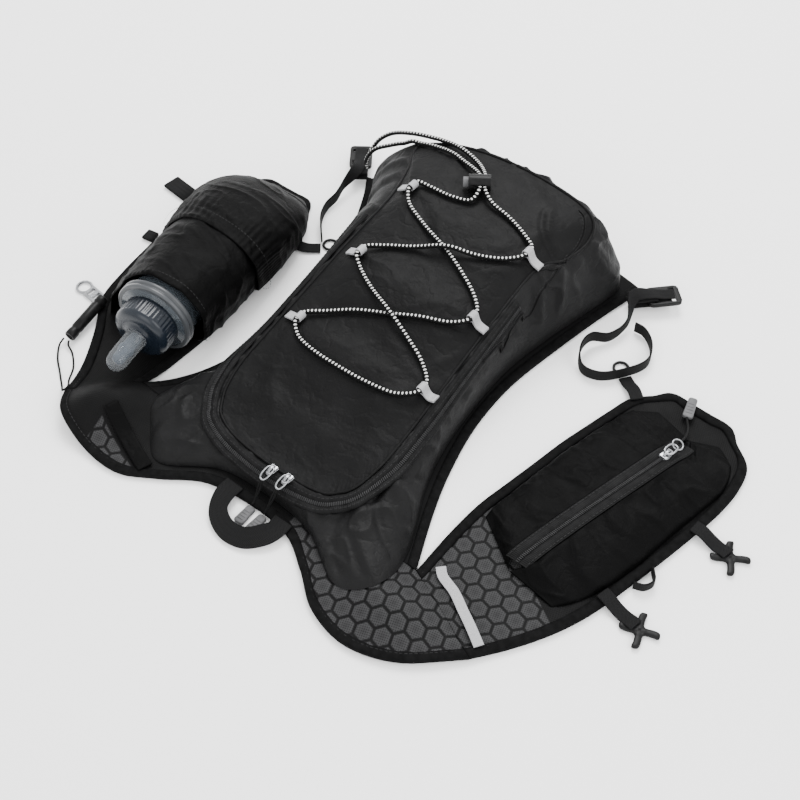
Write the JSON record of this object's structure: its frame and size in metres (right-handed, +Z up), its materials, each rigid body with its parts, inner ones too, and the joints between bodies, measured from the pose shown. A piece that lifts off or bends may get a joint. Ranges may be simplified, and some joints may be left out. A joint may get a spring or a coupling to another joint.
{
  "type": "hydration pack",
  "caption": "Vest-style running hydration pack lying opened on its back panel, with bungee-laced bag, padded straps, zipped pocket and capped soft flask.",
  "frame": {"origin": "on the floor, under the middle of the back panel's underside", "axes": "+Z up from the back panel to the bag's front, -Y to the neck, +Y to the bottom hem, +X to the strap with the zipped pocket"},
  "size_m": [0.5707, 0.3979, 0.0901],
  "materials": {
    "nylon": "matt coated ripstop",
    "dark_nylon": "matt",
    "binding": "matt stretch tape",
    "padding": "open hexagonal mesh",
    "webbing": "woven",
    "plastic": "satin",
    "grey_plastic": "satin",
    "reflective": "reflective tape",
    "cord": "braided with white flecks",
    "metal": "polished",
    "clear": "translucent soft plastic",
    "blue_grey": "translucent hard plastic"
  },
  "bodies": {
    "pack": {"adjuster_left": "webbing", "adjuster_right": "webbing", "back_panel": "padding", "bag_body": "nylon", "binding_neck": "binding", "binding_side_left": "binding", "binding_side_right": "binding", "binding_strap_left": "binding", "binding_strap_right": "binding", "bungee_cord": "cord", "bungee_tab_l1": "reflective", "bungee_tab_l2": "reflective", "bungee_tab_l3": "reflective", "bungee_tab_r1": "reflective", "bungee_tab_r2": "reflective", "bungee_tab_r3": "reflective", "chest_hook_lower": "plastic", "chest_hook_upper": "plastic", "chest_strap_lower": "webbing", "chest_strap_upper": "webbing", "cord_lock": "plastic", "corner_webbing_left": "webbing", "corner_webbing_right": "webbing", "edge_loop_long": "webbing", "edge_loop_short": "webbing", "flask_body": "clear", "flask_pocket": "nylon", "front_panel": "nylon", "haul_loop": "webbing", "keeper_loop": "webbing", "ladder_lock_left": "plastic", "ladder_lock_right": "plastic", "phone_pocket_inner": "nylon", "phone_pocket_outer": "nylon", "phone_pocket_zip": "dark_nylon", "phone_pull": "grey_plastic", "phone_slider": "metal", "piping": "dark_nylon", "reflective_strip": "reflective", "shoulder_slider": "metal", "shoulder_yoke": "padding", "strap_end_loop_left": "webbing", "strap_end_loop_right": "webbing", "strap_end_ring_left": "plastic", "strap_end_ring_right": "plastic", "strap_left": "padding", "strap_right": "padding", "upper_pouch": "nylon", "whistle": "plastic", "whistle_cord": "cord", "zip_cord_a": "cord", "zip_cord_b": "cord", "zip_pull_a": "grey_plastic", "zip_pull_b": "grey_plastic", "zip_slider_a": "metal", "zip_slider_b": "metal", "zip_tape": "dark_nylon"},
    "lock_button": {"cord_lock_button": "grey_plastic"},
    "flask_cap": {"flask_cap": "blue_grey"}
  },
  "joints": [
    {"name": "lock_button_press", "type": "slide", "parent": "pack", "child": "lock_button", "axis": [0.8196, 0.5729, 0], "range_m": [0, 0.003], "stiffness_N_per_m": 500, "springref_m": -0.004},
    {"name": "flask_cap_turn", "type": "hinge", "parent": "pack", "child": "flask_cap", "pos_m": [-0.143, -0.099, 0.0346], "axis": [0.1889, -0.982, 0], "range_deg": [0, 360]}
  ]
}
